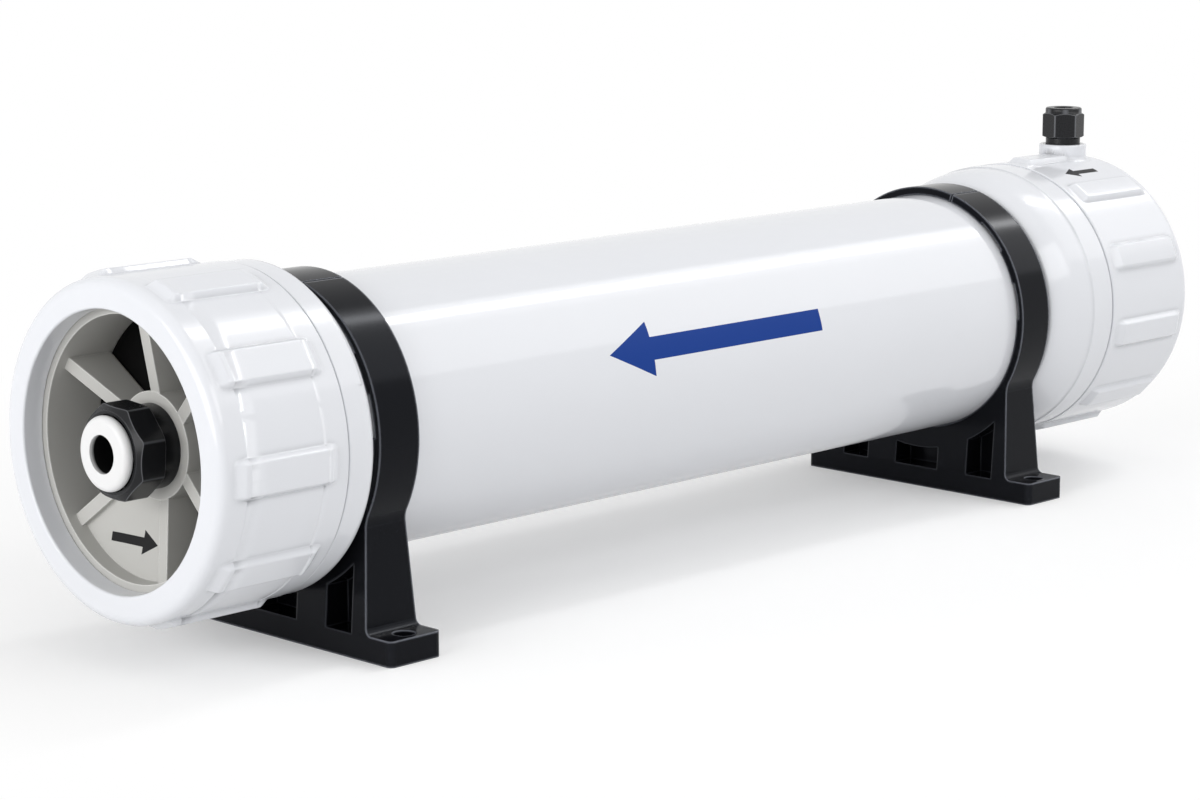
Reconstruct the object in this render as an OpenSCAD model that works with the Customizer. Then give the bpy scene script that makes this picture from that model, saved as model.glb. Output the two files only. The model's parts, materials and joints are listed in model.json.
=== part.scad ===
// Membrane pressure vessel: a plastic tube for one spiral-wound element, with a
// padded ring nut and spoked plug on its outlet end, a padded screw cap with a
// side port on its inlet end, and two hoop brackets that stand it on the floor.
// Millimetres. +X runs from the outlet to the inlet, +Z is up, and the origin is
// the centre of the four foot holes, on the floor.

/* [Tube and layout] */
// Outside diameter of the pressure tube
tube_od = 114.3; // [104:0.1:124]
// Wall thickness of the pressure tube
tube_wall = 6; // [4:0.5:7]
// Height of the vessel's axis above the floor
axis_h = 87.5; // [86:0.5:100]
// Distance between the two brackets, centre to centre
bracket_spacing = 413.4; // [300:0.1:600]
// From the outlet bracket's centre to the ring nut's front face
outlet_overhang = 94; // [93:0.5:110]
// From the inlet bracket's centre to the end of the cap
inlet_overhang = 122; // [121:0.5:140]

/* [Fits] */
// Radial gap of a solvent-cemented joint
cement_gap = 0.15; // [0.1:0.05:0.3]
// Radial gap of a piece that slides or turns in another
slide_gap = 0.3; // [0.2:0.05:0.5]
// Radial room that the large threads take between ring nut or cap and socket
thread_room = 1.65; // [1.2:0.05:2.5]
// Visible gap between a socket's collar and the ring nut or cap
seam_w = 0.6; // [0.3:0.1:1.5]

/* [End sockets] */
// Wall of the threaded spigots around the tube
spigot_wall = 3.6; // [3:0.1:6]
// How far the collars stand inside the ring nut's and cap's outer surface
collar_step = 0.4; // [0.2:0.1:2]
// Length of the outlet socket's collar
outlet_collar_l = 7.6; // [6:0.2:9]
// Length of the locating tab behind the outlet collar
tab_l = 3.6; // [1:0.2:5]
// Thickness of the locating tab
tab_t = 1.6; // [1:0.2:2.5]
// Height angle at which the locating tab starts, above the horizontal
tab_from = 22; // [10:1:60]
// Length of the inlet socket's collar
inlet_collar_l = 15.8; // [10:0.2:18]
// Wall of the sockets where they end on the tube
socket_end_wall = 2; // [1:0.5:4]
// Gap between a socket's end and the bracket's feet, along the tube
bracket_gap = 0.3; // [0.2:0.1:2]
// Length of the spigots' relieved nose at the outlet
nose_l = 5; // [4:0.5:8]
// Length of the inlet spigot beyond its collar
inlet_spigot_l = 29; // [20:0.5:32]

/* [Outlet ring nut] */
// Wall of the ring nut around its thread
ring_wall = 5; // [4:0.1:8]
// Length of the ring nut
ring_l = 62.5; // [58:0.5:70]
// Thickness of the lip that holds the plug in
ring_lip_t = 9.5; // [7:0.5:12]
// Radial width of the ring nut's flat front face
ring_face_w = 12.2; // [9:0.1:14]
// Radius of the ring nut's front edge
ring_edge_r = 4.5; // [2:0.5:6]
// Height of the snap bead that keeps the plug's flange in the ring nut
bead_h = 1.2; // [0.6:0.1:1.6]
// Length of the snap bead
bead_l = 2; // [1:0.5:3]
// Number of grip pads
ring_pads = 10; // [6:1:12]
// Width of a grip pad
ring_pad_w = 16; // [10:0.5:24]
// Length of a grip pad
ring_pad_l = 50; // [30:1:50]
// From the front face to the grip pads
ring_pad_from = 6.5; // [5:0.5:9]
// Height angle of the first grip pad
ring_pad_angle = 34; // [0:1:40]

/* [Grip pads] */
// How far the pads stand out
pad_h = 2.5; // [1:0.1:3]
// Slope of the pads' sides
pad_bevel = 2.2; // [0.5:0.1:3]

/* [Outlet plug] */
// Thickness of the plug's flange
flange_t = 6; // [4:0.5:8]
// Length of the plug's rim behind the flange
plug_l = 20; // [16:0.5:24]
// Wall of the plug's rim
plug_wall = 4.5; // [3:0.5:7]
// Thickness of a spoke
spoke_t = 5.5; // [3:0.5:8]
// From the flange's front to the spokes' outer ends
spoke_set = 4.5; // [2:0.5:8]
// From the rim's back to the backs of the spokes
spoke_relief = 1; // [0.5:0.5:3]
// How far the hub stands in front of the spokes
hub_step = 0.5; // [0.3:0.1:1.5]
// Diameter of the plug's hub
hub_d = 42.6; // [38:0.2:50]
// From the flange's front to the hub's front
hub_set = 12.1; // [10:0.1:13]
// Thickness of the closed panel between two spokes
panel_t = 3.5; // [2:0.5:5]
// From the spokes' front down to the panel
panel_set = 2.5; // [1:0.5:5]
// Thickness of the seal plate behind the plug
plate_t = 16; // [14:0.5:20]
// Length of the seal plate's O-ring grooves
plate_groove_l = 5; // [4.6:0.1:5.4]
// Section diameter of the plate's O-rings
plate_seal_d = 4.2; // [3.4:0.1:4.5]
// From the seal plate's rear face to the end of the tube
plate_to_tube = 2; // [1:0.5:5]

/* [Permeate adapter] */
// Outside diameter of the permeate adapter
adapter_d = 31; // [29:0.5:36]
// Depth of the adapter's socket on the fitting's shank
adapter_socket_l = 10; // [8:0.5:14]
// Thickness of the adapter's web
adapter_web_t = 2.5; // [2:0.5:5]
// Bore for the element's tube
adapter_bore_d = 19.4; // [18:0.1:20]
// Depth of the bore for the element's tube
adapter_bore_l = 21; // [19:0.5:28]
// Section diameter of the adapter's O-rings
adapter_seal_d = 2.6; // [2:0.1:3]
// Length of the adapter's O-ring grooves
adapter_groove_l = 3.2; // [3.1:0.1:4]

/* [Outlet fitting] */
// Width across flats of the lock nut
lock_af = 34; // [33:0.5:38]
// Length of the lock nut
lock_l = 13; // [11:0.5:16]
// Depth of the seat for the collet's flange
lock_seat_l = 3.3; // [2.5:0.1:4.5]
// Thickness of the lock nut's inner wall
lock_web_t = 2.6; // [2:0.1:3.5]
// Diameter of the fitting's round neck
neck_d = 33.4; // [31:0.2:36]
// Length of the fitting's round neck
neck_l = 8; // [6:0.5:10]
// Diameter of the thread that the lock nut turns on
lock_thread_d = 27.6; // [26:0.2:29]
// Diameter of the shank through hub and seal plate
shank_d = 22; // [20:0.5:23]
// Diameter of the water way
outlet_way_d = 12; // [8:0.5:13]
// Bore of the collet
collet_bore_d = 15.2; // [14:0.1:16]
// Wall of the collet's barrel
collet_wall = 2.4; // [1.5:0.1:3]
// Diameter of the collet's flange
collet_flange_d = 29.6; // [28:0.2:29.8]
// Thickness of the collet's flange
collet_flange_t = 5; // [4:0.5:6]
// How far the collet stands out of the lock nut
collet_out = 4; // [3:0.5:5]
// Travel of the collet when it is pushed in
collet_push = 2; // [1:0.1:2.2]
// Depth of the tube's bore behind that O-ring
tube_stop_l = 6; // [2:0.5:12]
// Section diameter of the O-ring around the outlet tube
tube_seal_d = 2.5; // [2:0.1:2.6]
// Length of the O-ring's seat in the fitting
tube_seat_l = 3.2; // [2.8:0.1:4]

/* [Nuts] */
// Slope of the nuts' chamfers
hex_chamfer = 35; // [20:1:45]

/* [Inlet cap] */
// Length of the cap
cap_l = 66; // [62:0.5:74]
// Thickness of the cap's end wall
cap_end_t = 9.4; // [6:0.2:12]
// Radius of the cap's end edge
cap_edge_r = 6; // [3:0.5:9]
// Width of the ledge that the gasket seats on
gasket_ledge = 7.4; // [5:0.2:9]
// Thickness of the gasket
gasket_t = 3; // [2:0.5:5]
// Number of grip pads
cap_pads = 11; // [6:1:14]
// Width of a grip pad
cap_pad_w = 14; // [8:0.5:18]
// Length of a grip pad
cap_pad_l = 54; // [30:1:54]
// From the cap's rim to the grip pads
cap_pad_from = 4; // [4:0.5:8]
// Height angle of the first grip pad
cap_pad_angle = 22; // [0:1:32]
// From the cap's end to the inlet port's axis
port_from_end = 19; // [18:0.5:24]
// Diameter of the port's boss
boss_d = 24; // [20:0.5:28]
// Height of the port's boss above the cap
boss_h = 7; // [4:0.1:10]

/* [Inlet fitting] */
// Diameter of the fitting's shank in the boss
inlet_shank_d = 13.4; // [12:0.2:14]
// Length of the shank in the boss and cap wall
inlet_shank_l = 16; // [12:0.5:18]
// Diameter of the fitting's neck
inlet_neck_d = 17.5; // [16.5:0.1:18]
// Height of the fitting's neck
inlet_neck_l = 3.2; // [3:0.1:7]
// Diameter of the compression thread
inlet_thread_d = 15.2; // [14.6:0.1:15.6]
// Length of the compression thread
inlet_thread_l = 9.6; // [8:0.1:11]
// Bore for the inlet tube
inlet_bore_d = 9.8; // [9:0.1:10.4]
// Depth of the bore for the inlet tube
inlet_bore_l = 11.8; // [10:0.1:12.2]
// Diameter of the water way below the tube
inlet_way_d = 7; // [5:0.5:8]
// Width across flats of the compression nut
inlet_nut_af = 18.6; // [18.2:0.1:22]
// Height of the compression nut
inlet_nut_l = 15.4; // [14.8:0.1:18]
// Height of the ferrule
ferrule_l = 2.4; // [1.5:0.1:3]
// Height of the ferrule's straight rim
ferrule_rim_l = 0.8; // [0.4:0.1:1.2]
// Width of the ferrule's cone
ferrule_cone_w = 1.2; // [0.6:0.1:1.4]
// Section diameter of the port's O-ring
port_seal_d = 1.1; // [0.8:0.1:1.3]

/* [Brackets] */
// Wall of the hoop around the tube
hoop_wall = 4; // [3:0.1:7]
// Width of the hoop along the tube
hoop_w = 20.7; // [16:0.1:24]
// Width of the feet along the tube
foot_w = 27; // [24:0.1:27.4]
// Thickness of the feet
foot_t = 10.6; // [8:0.1:14]
// How far the legs' tops lie inside the hoop's outer surface
leg_inset = 9; // [6:0.5:14]
// Lean of the legs, from their tops to the feet
leg_lean = 2.8; // [0.5:0.1:5]
// Length of a foot beyond its leg
foot_l = 14.5; // [13:0.5:22]
// Diameter of a foot hole
foot_hole_d = 9; // [6:0.5:10]
// Radius of the blends between hoop and legs
hoop_blend_r = 12; // [6:0.5:20]
// Radius of the fillets between legs and feet
foot_fillet_r = 3; // [1:0.5:4]
// Radius of the feet's upright corners
foot_corner_r = 2.6; // [1:0.2:4]
// Thickness of the saddle between tube and windows
saddle_wall = 10.6; // [8:0.1:12]
// Thickness of the base below the windows
window_floor = 10; // [8:0.5:12]
// Half the width of the middle window
window_half = 13; // [8:0.5:16]
// Thickness of the wall that closes the windows, half way along the foot
window_wall = 3; // [2:0.5:8]
// Width of the webs between the windows
web_w = 18; // [10:0.5:22]
// Wall between a side window and the leg's outer face
leg_wall = 6; // [4:0.5:9]
// Width of the split in the hoop
split_w = 0.8; // [0.4:0.1:2]
// Height angle of the split
split_angle = 74; // [50:1:90]
// Depth of the relief slots inside the hoop
relief_t = 1.2; // [0.5:0.1:2]
// Height angle at which the lower relief slot starts
relief_low = 2; // [0:1:10]
// Height angle at which the upper relief slot starts
relief_high = 36; // [36:1:44]
// Spread of a relief slot, in degrees
relief_spread = 17; // [5:1:25]

/* [Hidden] */
$fn = 96;
// Height angles of the spokes; the closed panel fills the gap between the last two
spoke_angles = [330, 38, 86, 148, 221, 284];
// How far fillets cut into their neighbours, so that the surfaces cross cleanly
bite = 0.05;
// Overlap that keeps cuts and joined shapes from ending on the same face
over = 1;
white = [0.93, 0.93, 0.94];
warm_grey = [0.70, 0.70, 0.67];
black = [0.06, 0.06, 0.07];
rubber = [0.03, 0.03, 0.03];

// Radii about the vessel's axis, from the tube outwards
tube_r = tube_od / 2;
tube_bore_r = tube_r - tube_wall;
socket_bore_r = tube_r + cement_gap;
spigot_r = socket_bore_r + spigot_wall;
thread_bore_r = spigot_r + thread_room;
ring_r = thread_bore_r + ring_wall;
collar_r = ring_r - collar_step;
socket_end_r = socket_bore_r + socket_end_wall;
ring_mouth_r = ring_r - ring_face_w;
flange_gap = 2 * slide_gap;
flange_r = thread_bore_r - flange_gap;
bead_r = flange_r - bead_h;
nose_r = bead_r - flange_gap;
plug_r = socket_bore_r - slide_gap;
pocket_r = plug_r - plug_wall;
hub_r = hub_d / 2;
cap_cavity_r = thread_bore_r - gasket_ledge;
hoop_bore_r = tube_r + cement_gap;
hoop_r = hoop_bore_r + hoop_wall;

// Stations along the axis at the outlet
outlet_bracket_x = -bracket_spacing / 2;
ring_x = outlet_bracket_x - outlet_overhang;
flange_x = ring_x + ring_lip_t;
nose_x = flange_x + flange_t;
plate_x = nose_x + plug_l;
plate_end_x = plate_x + plate_t;
tube_from_x = plate_end_x + plate_to_tube;
outlet_collar_x = ring_x + ring_l + seam_w;
outlet_shoulder_x = outlet_collar_x + outlet_collar_l;
outlet_socket_end_x = outlet_bracket_x - foot_w / 2 - bracket_gap;
outlet_shoulder_l = outlet_socket_end_x - outlet_shoulder_x;
hub_x = flange_x + hub_set;
lock_x = hub_x - neck_l - lock_l;

// Stations along the axis at the inlet
inlet_bracket_x = bracket_spacing / 2;
cap_end_x = inlet_bracket_x + inlet_overhang;
cap_x = cap_end_x - cap_l;
inlet_collar_end_x = cap_x - seam_w;
inlet_collar_x = inlet_collar_end_x - inlet_collar_l;
inlet_socket_x = inlet_bracket_x + foot_w / 2 + bracket_gap;
inlet_shoulder_l = inlet_collar_x - inlet_socket_x;
inlet_spigot_end_x = inlet_collar_end_x + inlet_spigot_l;
gasket_end_x = inlet_spigot_end_x + gasket_t;
port_x = cap_end_x - port_from_end;

// Heights above the axis at the inlet port
boss_top_z = ring_r + boss_h;
inlet_neck_top_z = boss_top_z + inlet_neck_l;
inlet_thread_top_z = inlet_neck_top_z + inlet_thread_l;

// Angle in a turned piece's own frame for a height angle seen from the near side
function facing(height_angle) = -90 - height_angle;
// Radius of an arc that leaves a level line and drops by a rise over a run
function arc_radius(run, rise) = (run * run + rise * rise) / (2 * rise);

// Puts a piece that was drawn along +Z on the vessel's axis, starting at station x
module on_axis(x) {
    translate([x, 0, axis_h]) rotate([0, 90, 0]) children();
}

// Puts a piece that was drawn along +Z on the inlet port, at a height above the axis
module on_port(z) {
    translate([port_x, 0, axis_h + z]) children();
}

// Section of a plain ring between two radii and two stations
module ring_section(inner, outer, from, to) {
    translate([inner, from]) square([outer - inner, to - from]);
}

// Section of a solid whose outer edge is rounded at its far end
module rounded_end_section(outer, length, edge) {
    ring_section(0, outer, 0, length - edge);
    ring_section(0, outer - edge, length - edge - over, length);
    translate([outer - edge, length - edge]) circle(edge);
}

// Raised grip pads with sloped sides, around a cylinder of radius r
module grip_pads(r, count, width, length, first_angle) {
    root = r - over;
    crown = r + pad_h;
    intersection() {
        rotate_extrude() polygon([[root, 0], [r, 0], [crown, pad_bevel],
            [crown, length - pad_bevel], [r, length], [root, length]]);
        for (i = [0 : count - 1])
            rotate([0, 0, facing(first_angle + i * 360 / count)])
                linear_extrude(length)
                    polygon([[root - over, -width / 2], [r, -width / 2],
                        [crown + over, -width / 2 + pad_bevel],
                        [crown + over, width / 2 - pad_bevel],
                        [r, width / 2], [root - over, width / 2]]);
    }
}

// O-ring that lies against the outside of radius r
module o_ring(r, section_d) {
    rotate_extrude() translate([r + section_d / 2, 0]) circle(section_d / 2, $fn = 48);
}

// Hexagon prism, chamfered at its start by a cone and a little at its end
module hex_prism(flats, length) {
    corner_r = flats / sqrt(3);
    clear_r = corner_r + over;
    chamfer_slope = tan(hex_chamfer);
    end_r = (corner_r + flats / 2) / 2;
    intersection() {
        cylinder(h = length, r = corner_r, $fn = 6);
        rotate_extrude() polygon([[0, 0], [flats / 2, 0],
            [clear_r, (clear_r - flats / 2) * chamfer_slope],
            [clear_r, length - (clear_r - end_r) * chamfer_slope], [end_r, length], [0, length]]);
    }
}

module pressure_tube() {
    color(white) on_axis(tube_from_x) rotate_extrude()
        ring_section(tube_bore_r, tube_r, 0, inlet_spigot_end_x - tube_from_x);
}

// Moulded outlet socket: relieved nose, threaded spigot, collar, shoulder and locating tab
module outlet_socket() {
    rise = collar_r - socket_end_r;
    arc_r = arc_radius(outlet_shoulder_l, rise);
    collar_at = outlet_collar_x - nose_x;
    shoulder_at = outlet_shoulder_x - nose_x;
    end_at = outlet_socket_end_x - nose_x;
    color(white) on_axis(nose_x) {
        rotate_extrude() {
            ring_section(socket_bore_r, nose_r, 0, nose_l);
            ring_section(socket_bore_r, spigot_r, nose_l, collar_at);
            ring_section(socket_bore_r, collar_r, collar_at, shoulder_at);
            intersection() {
                translate([collar_r - arc_r, shoulder_at]) circle(arc_r);
                ring_section(socket_bore_r, collar_r, shoulder_at - over, end_at);
            }
        }
        rotate([0, 0, facing(180 - tab_from)])
            rotate_extrude(angle = 180 - 2 * tab_from)
                ring_section(collar_r - tab_t, collar_r, shoulder_at - over, shoulder_at + tab_l);
    }
}

// Moulded inlet socket: long rounded shoulder, collar and threaded spigot
module inlet_socket() {
    rise = collar_r - socket_end_r;
    arc_r = arc_radius(inlet_shoulder_l, rise);
    collar_end_at = inlet_collar_end_x - inlet_socket_x;
    color(white) on_axis(inlet_socket_x) rotate_extrude() {
        intersection() {
            translate([collar_r - arc_r, inlet_shoulder_l]) circle(arc_r);
            ring_section(socket_bore_r, collar_r, 0, inlet_shoulder_l + over);
        }
        ring_section(socket_bore_r, collar_r, inlet_shoulder_l, collar_end_at);
        ring_section(socket_bore_r, spigot_r, collar_end_at - over, collar_end_at + inlet_spigot_l);
    }
}

// Bracket, in the plane across the tube, with the tube's axis as the origin
leg_top = [hoop_r - leg_inset, -sqrt(hoop_r * hoop_r - pow(hoop_r - leg_inset, 2))];
leg_foot = [leg_top.x + leg_lean, foot_t - axis_h];
base_half = leg_foot.x + foot_l;
foot_hole_y = leg_foot.x + foot_l / 2;
leg_down = (leg_foot - leg_top) / norm(leg_foot - leg_top);
leg_out = [-leg_down.y, leg_down.x];
leg_reach = leg_out * leg_top;
window_arc_r = hoop_bore_r + saddle_wall;

// Fillet between the hoop and a leg: a disc that touches both from outside
module hoop_blend() {
    off = leg_reach + hoop_blend_r;
    along = sqrt(pow(hoop_r + hoop_blend_r, 2) - off * off);
    centre = leg_out * off + leg_down * along;
    difference() {
        polygon([leg_top * (hoop_r - over) / hoop_r,
            centre * (hoop_r - over) / (hoop_r + hoop_blend_r), centre,
            centre - leg_out * (hoop_blend_r + over)]);
        translate(centre) circle(hoop_blend_r + bite);
    }
}

// Fillet between a leg and the top of its foot
module foot_fillet() {
    centre_z = leg_foot.y + foot_fillet_r;
    centre_y = (leg_reach + foot_fillet_r - leg_out.y * centre_z) / leg_out.x;
    centre = [centre_y, centre_z];
    difference() {
        polygon([leg_foot - [over, over], centre - leg_out * (foot_fillet_r + over), centre,
            centre - [0, foot_fillet_r + over]]);
        translate(centre) circle(foot_fillet_r + bite);
    }
}

// Extrudes a shape drawn in the plane across the tube, along the tube
module across(length) {
    rotate([90, 0, 90]) linear_extrude(length, center = true) children();
}

// Half of the pedestal below the hoop
module leg() {
    polygon([[-over, leg_top.y], leg_top, leg_foot, [leg_foot.x, -axis_h], [-over, -axis_h]]);
}

// Hoop, legs and feet in one width, before the taper and the cuts
module bracket_blank(width) {
    across(width) circle(hoop_r);
    for (side = [0, 1]) mirror([0, side, 0]) {
        across(width) leg();
        across(width) hoop_blend();
        across(width) foot_fillet();
    }
    across(width) translate([-base_half, -axis_h]) square([2 * base_half, foot_t]);
}

// Window between two distances from the middle, whose top follows the saddle
module window(from, to) {
    floor_z = window_floor - axis_h;
    difference() {
        translate([from, floor_z]) square([to - from, -floor_z]);
        circle(window_arc_r);
    }
}

// Upright prism of the feet's plan, with rounded corners
module foot_plan(height) {
    in_x = foot_w / 2 - foot_corner_r;
    in_y = base_half - foot_corner_r;
    translate([-foot_w / 2, -in_y, 0]) cube([foot_w, 2 * in_y, height]);
    translate([-in_x, -base_half, 0]) cube([2 * in_x, 2 * base_half, height]);
    for (x = [-in_x, in_x], y = [-in_y, in_y])
        translate([x, y, 0]) cylinder(h = height, r = foot_corner_r);
}

// Side view of the bracket, narrower at the hoop than at the feet
module bracket_taper() {
    polygon([[-foot_w / 2, -axis_h], [foot_w / 2, -axis_h], [foot_w / 2, leg_foot.y],
        [hoop_w / 2, leg_top.y], [hoop_w / 2, hoop_r + over], [-hoop_w / 2, hoop_r + over],
        [-hoop_w / 2, leg_top.y], [-foot_w / 2, leg_foot.y]]);
}

module bracket(x) {
    through = foot_w + 2 * over;
    side_window_from = window_half + web_w;
    side_window_to = leg_top.x - leg_wall;
    color(black) translate([x, 0, axis_h]) difference() {
        intersection() {
            bracket_blank(through);
            rotate([90, 0, 0]) linear_extrude(2 * base_half + over, center = true) bracket_taper();
            translate([0, 0, -axis_h - over]) foot_plan(axis_h + hoop_r + 2 * over);
        }
        rotate([0, 90, 0]) cylinder(h = through, r = hoop_bore_r, center = true);
        for (end = [-1, 1]) translate([end * (window_wall + through) / 2, 0, 0]) {
            across(through) window(-window_half, window_half);
            for (side = [0, 1]) mirror([0, side, 0])
                across(through) window(side_window_from, side_window_to);
        }
        rotate([90 - split_angle, 0, 0])
            translate([-through / 2, -split_w / 2, 0]) cube([through, split_w, hoop_r + over]);
        for (side = [0, 1], from = [relief_low, relief_high]) mirror([0, side, 0])
            translate([-through / 2, 0, 0]) rotate([0, 90, 0])
                rotate([0, 0, facing(from + relief_spread)])
                    rotate_extrude(angle = relief_spread)
                        ring_section(hoop_bore_r - over, hoop_bore_r + relief_t, 0, through);
        for (y = [-foot_hole_y, foot_hole_y])
            translate([0, y, -axis_h - over]) cylinder(h = foot_t + 2 * over, d = foot_hole_d);
    }
}

module outlet_bracket() { bracket(outlet_bracket_x); }
module inlet_bracket() { bracket(inlet_bracket_x); }

// Ring nut: front lip, pocket for the plug's flange, snap bead, thread bore and grip pads
module outlet_ring_nut() {
    flange_at = ring_lip_t;
    bead_at = ring_lip_t + flange_t + slide_gap;
    color(white) on_axis(ring_x) {
        rotate_extrude() difference() {
            translate([0, ring_l]) mirror([0, 1]) rounded_end_section(ring_r, ring_l, ring_edge_r);
            ring_section(0, ring_mouth_r, -over, ring_l + over);
            ring_section(0, thread_bore_r, flange_at, bead_at);
            ring_section(0, bead_r, bead_at - over, bead_at + bead_l + over);
            ring_section(0, thread_bore_r, bead_at + bead_l, ring_l + over);
        }
        translate([0, 0, ring_pad_from])
            grip_pads(ring_r, ring_pads, ring_pad_w, ring_pad_l, ring_pad_angle);
    }
}

// Spoked end plug: flange, rim, dished spokes, hub and one closed panel
module outlet_end_plug() {
    back = plate_x - flange_x;
    panel_from = spoke_angles[len(spoke_angles) - 2];
    panel_to = spoke_angles[len(spoke_angles) - 1];
    spoke_hub_set = hub_set + hub_step;
    spoke_end = back - spoke_relief;
    color(warm_grey) on_axis(flange_x) difference() {
        union() {
            rotate_extrude() {
                ring_section(pocket_r, flange_r, 0, flange_t);
                ring_section(pocket_r, plug_r, 0, back);
                ring_section(0, hub_r, hub_set, back);
            }
            for (angle = spoke_angles)
                rotate([0, 0, facing(angle)]) rotate([90, 0, 0])
                    linear_extrude(spoke_t, center = true)
                        polygon([[hub_r - over, spoke_hub_set], [pocket_r + over, spoke_set],
                            [pocket_r + over, spoke_end], [hub_r - over, spoke_end]]);
            rotate([0, 0, facing(panel_to)]) rotate_extrude(angle = panel_to - panel_from)
                translate([0, panel_set])
                    polygon([[hub_r - over, spoke_hub_set], [pocket_r + over, spoke_set],
                        [pocket_r + over, spoke_set + panel_t], [hub_r - over, spoke_hub_set + panel_t]]);
        }
        translate([0, 0, hub_set - over])
            cylinder(h = back - hub_set + 2 * over, d = shank_d + 2 * cement_gap);
    }
}

// Black plate that closes the tube behind the plug, with two O-ring grooves
module seal_plate() {
    color(rubber) on_axis(plate_x) rotate_extrude() difference() {
        ring_section(shank_d / 2 + cement_gap, plug_r, 0, plate_t);
        for (i = [0, 1])
            translate([0, plate_groove_at(i)])
                ring_section(plate_groove_r, plug_r + over, 0, plate_groove_l);
    }
}

// Grooves share the plate's thickness so that three equal lands are left
function plate_groove_at(i) = (plate_t - 2 * plate_groove_l) / 3 * (i + 1) + plate_groove_l * i;
plate_groove_r = plug_r - plate_seal_d - cement_gap;

module plate_o_ring(i) {
    color(rubber) on_axis(plate_x + plate_groove_at(i) + plate_groove_l / 2)
        o_ring(plate_groove_r + cement_gap, plate_seal_d);
}

module plate_front_o_ring() { plate_o_ring(0); }
module plate_rear_o_ring() { plate_o_ring(1); }

// Adapter behind the plate: a socket on the fitting's shank and a sealed bore for the element's tube
adapter_bore_at = adapter_socket_l + adapter_web_t;
adapter_l = adapter_bore_at + adapter_bore_l;
adapter_groove_r = adapter_bore_d / 2 + adapter_seal_d;
function adapter_groove_at(i) = adapter_bore_at + adapter_bore_l * (i + 1) / 3 - adapter_groove_l / 2;

module permeate_adapter() {
    color(white) on_axis(plate_end_x) rotate_extrude() difference() {
        ring_section(outlet_way_d / 2, adapter_d / 2, 0, adapter_l);
        ring_section(0, shank_d / 2 + cement_gap, -over, adapter_socket_l);
        ring_section(0, adapter_bore_d / 2, adapter_bore_at, adapter_l + over);
        for (i = [0, 1])
            translate([0, adapter_groove_at(i)])
                ring_section(0, adapter_groove_r, 0, adapter_groove_l);
    }
}

module adapter_o_ring(i) {
    color(rubber) on_axis(plate_end_x + adapter_groove_at(i) + adapter_groove_l / 2)
        o_ring(adapter_groove_r - adapter_seal_d - cement_gap, adapter_seal_d);
}

module adapter_front_o_ring() { adapter_o_ring(0); }
module adapter_rear_o_ring() { adapter_o_ring(1); }

// Push-in fitting body: thread for the lock nut, neck against the hub, long shank
collet_r = collet_bore_d / 2 + collet_wall;
collet_way_r = collet_r + slide_gap;
body_x = lock_x + lock_seat_l + lock_web_t + slide_gap;
tube_seat_at = lock_l + neck_l - tube_seat_l - (body_x - lock_x);
tube_seat_r = collet_bore_d / 2 + tube_seal_d;

module outlet_fitting_body() {
    neck_at = lock_x + lock_l - body_x;
    shank_at = hub_x - body_x;
    end_at = plate_end_x + adapter_socket_l - slide_gap - body_x;
    color(black) on_axis(body_x) rotate_extrude() difference() {
        union() {
            ring_section(0, lock_thread_d / 2, 0, neck_at + over);
            ring_section(0, neck_d / 2, neck_at, shank_at);
            ring_section(0, shank_d / 2, shank_at - over, end_at);
        }
        ring_section(0, outlet_way_d / 2, -over, end_at + over);
        ring_section(0, tube_seat_r, tube_seat_at, tube_seat_at + tube_seat_l);
        ring_section(0, collet_way_r, -over, tube_seat_at);
        ring_section(0, collet_bore_d / 2, tube_seat_at, tube_seat_at + tube_seat_l + tube_stop_l);
    }
}

module outlet_tube_o_ring() {
    color(rubber) on_axis(body_x + tube_seat_at + tube_seat_l / 2)
        o_ring(tube_seat_r - tube_seal_d - cement_gap, tube_seal_d);
}

// Lock nut: chamfered hexagon with a seat for the collet's flange
module outlet_lock_nut() {
    thread_at = lock_seat_l + lock_web_t;
    color(black) on_axis(lock_x) difference() {
        rotate([0, 0, 30]) hex_prism(lock_af, lock_l - slide_gap);
        rotate_extrude() {
            ring_section(0, collet_way_r, -over, lock_l + over);
            ring_section(0, collet_flange_d / 2 + slide_gap, -over, lock_seat_l);
            ring_section(0, lock_thread_d / 2 + slide_gap, thread_at, lock_l + over);
        }
    }
}

// Collet: rounded flange that is pushed in, and the barrel that grips the tube
module outlet_collet() {
    edge = collet_flange_t / 2;
    barrel_l = tube_seat_at + body_x - lock_x + collet_out - collet_push - slide_gap;
    color("white") on_axis(lock_x - collet_out) rotate_extrude() difference() {
        union() {
            ring_section(0, collet_flange_d / 2 - edge, 0, collet_flange_t);
            translate([collet_flange_d / 2 - edge, edge]) circle(edge);
            ring_section(0, collet_r, 0, barrel_l);
        }
        ring_section(0, collet_bore_d / 2, -over, barrel_l + over);
    }
}

// Screw cap: end wall, water cavity, gasket ledge, thread bore, grip pads and port boss
module inlet_cap() {
    ledge_at = gasket_end_x - cap_x;
    cavity_l = cap_l - cap_end_t;
    color(white) difference() {
        union() {
            on_axis(cap_x) {
                rotate_extrude() rounded_end_section(ring_r, cap_l, cap_edge_r);
                translate([0, 0, cap_pad_from])
                    grip_pads(ring_r, cap_pads, cap_pad_w, cap_pad_l, cap_pad_angle);
            }
            on_port(cap_cavity_r + over) cylinder(h = boss_top_z - cap_cavity_r - over, d = boss_d);
        }
        on_axis(cap_x) rotate_extrude() {
            ring_section(0, thread_bore_r, -over, ledge_at);
            ring_section(0, cap_cavity_r, -over, cavity_l);
        }
        on_port(cap_cavity_r - over)
            cylinder(h = boss_top_z - cap_cavity_r + 2 * over, d = inlet_shank_d + 2 * cement_gap);
    }
}

module inlet_gasket() {
    color(rubber) on_axis(inlet_spigot_end_x) rotate_extrude()
        ring_section(cap_cavity_r, thread_bore_r - slide_gap, 0, gasket_t);
}

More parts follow.
